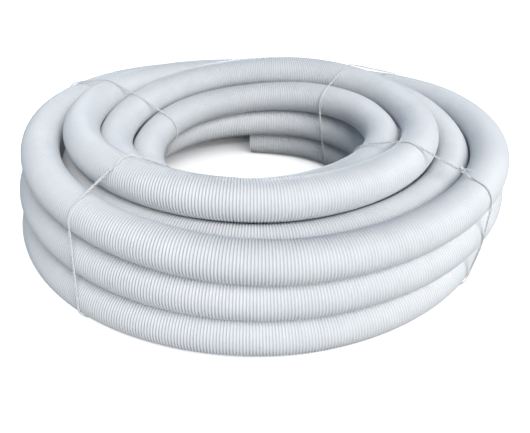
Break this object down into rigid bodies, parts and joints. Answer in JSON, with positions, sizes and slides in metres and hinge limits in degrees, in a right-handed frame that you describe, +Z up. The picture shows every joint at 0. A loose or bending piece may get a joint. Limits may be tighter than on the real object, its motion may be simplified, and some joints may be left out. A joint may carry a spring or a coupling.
{
  "type": "coiled pool vacuum hose",
  "caption": "White ribbed pool vacuum hose wound into an open coil of stacked turns, bound with twine, with bare open ends.",
  "frame": {"origin": "on the floor, under the middle of the coil's outline", "axes": "+Z up, the axis of the coil; +Y towards its back, where the bare inner end lies; +X to its right"},
  "size_m": [0.6878, 0.6913, 0.1797],
  "materials": {
    "hose": "satin white, finely ribbed",
    "twine": "twisted, slightly fuzzy"
  },
  "bodies": {
    "coil": {"hose_inner_turn_1": "hose", "hose_inner_turn_2": "hose", "hose_inner_turn_3": "hose", "hose_crossing_turn": "hose", "hose_middle_turn_3": "hose", "hose_middle_turn_2": "hose", "hose_middle_turn_1": "hose", "hose_outer_turn_1": "hose", "hose_outer_turn_2": "hose", "hose_outer_turn_3": "hose", "tie_back_right": "twine", "tie_front_right": "twine", "tie_front_left": "twine", "tie_back_left": "twine"},
    "inner_end": {"hose_inner_end": "hose"},
    "outer_end": {"hose_outer_end": "hose"}
  },
  "joints": [
    {"name": "inner_end_swing", "type": "hinge", "parent": "coil", "child": "inner_end", "pos_m": [0.07544, 0.1501, 0.02515], "axis": [0, 0, 1], "range_deg": [0, 30], "stiffness_Nm_per_rad": 1},
    {"name": "outer_end_lift", "type": "hinge", "parent": "coil", "child": "outer_end", "pos_m": [-0.15254, 0.23477, 0.12215], "axis": [0.5407, -0.8412, 0], "range_deg": [0, 30], "stiffness_Nm_per_rad": 1}
  ]
}
